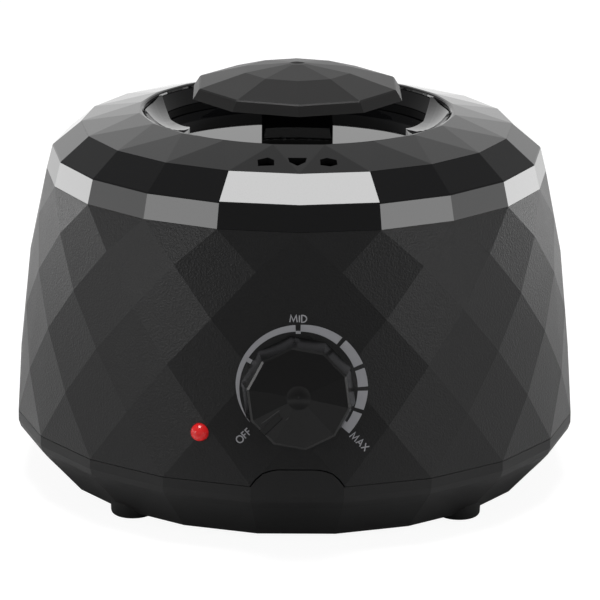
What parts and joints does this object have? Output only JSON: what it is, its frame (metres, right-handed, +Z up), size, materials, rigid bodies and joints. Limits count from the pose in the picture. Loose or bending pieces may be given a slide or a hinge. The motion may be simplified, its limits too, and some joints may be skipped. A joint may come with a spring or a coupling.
{
  "type": "wax warmer pot",
  "caption": "Round electric wax warmer with a diamond-faceted housing, a heated well, a lift-out aluminium pot, a lift-off lid, a thermostat knob and an indicator lamp.",
  "frame": {"origin": "on the table at the centre line of the housing, level with the undersides of the feet", "axes": "+Z up along the housing's centre line, -Y towards the user through the knob, +X to the right as the user sees it"},
  "size_m": [0.1976, 0.211, 0.1479],
  "materials": {
    "housing": "fine matte texture",
    "gloss_black": "high gloss",
    "satin_black": "satin gloss",
    "base_black": "satin",
    "rubber": "matte",
    "steel": "plain",
    "aluminium": "drawn",
    "mica": "mica sheet",
    "fibre": "glass fibre",
    "ceramic": "unglazed",
    "lamp_red": "clear red",
    "lamp_body": "plain",
    "knob_black": "satin",
    "pointer_black": "satin",
    "silicone": "translucent grey",
    "lid_black": "satin"
  },
  "bodies": {
    "base": {"housing_shell": "housing", "trim_band": "gloss_black", "top_cover": "satin_black", "base_tray": "base_black", "feet": "rubber", "base_screws": "steel", "cord_gland": "rubber", "heating_well": "aluminium", "well_screws": "steel", "heater_ring": "mica", "heater_clamp": "steel", "clamp_nut": "steel", "insulation": "fibre", "thermal_fuse": "ceramic", "terminal_block": "ceramic", "thermostat_body": "ceramic", "thermostat_nut": "steel", "lamp_lens": "lamp_red", "lamp_holder": "lamp_body"},
    "knob": {"knob": "knob_black", "knob_pointer": "pointer_black", "thermostat_shaft": "steel"},
    "pot": {"wax_pot": "aluminium", "pot_collar": "gloss_black", "collar_pins": "steel"},
    "lid": {"lid_plate": "gloss_black", "lid_gasket": "silicone", "lid_stem": "gloss_black", "lid_cap": "lid_black", "lid_screw": "steel"}
  },
  "joints": [
    {"name": "knob_turn", "type": "hinge", "parent": "base", "child": "knob", "pos_m": [0, -0.09718, 0.0569], "axis": [0, -0.9947, 0.1028], "range_deg": [-270, 0]},
    {"name": "pot_lift", "type": "slide", "parent": "base", "child": "pot", "axis": [0, 0, 1], "range_m": [0, 0.12]},
    {"name": "lid_lift", "type": "slide", "parent": "pot", "child": "lid", "axis": [0, 0, 1], "range_m": [0, 0.15]}
  ]
}
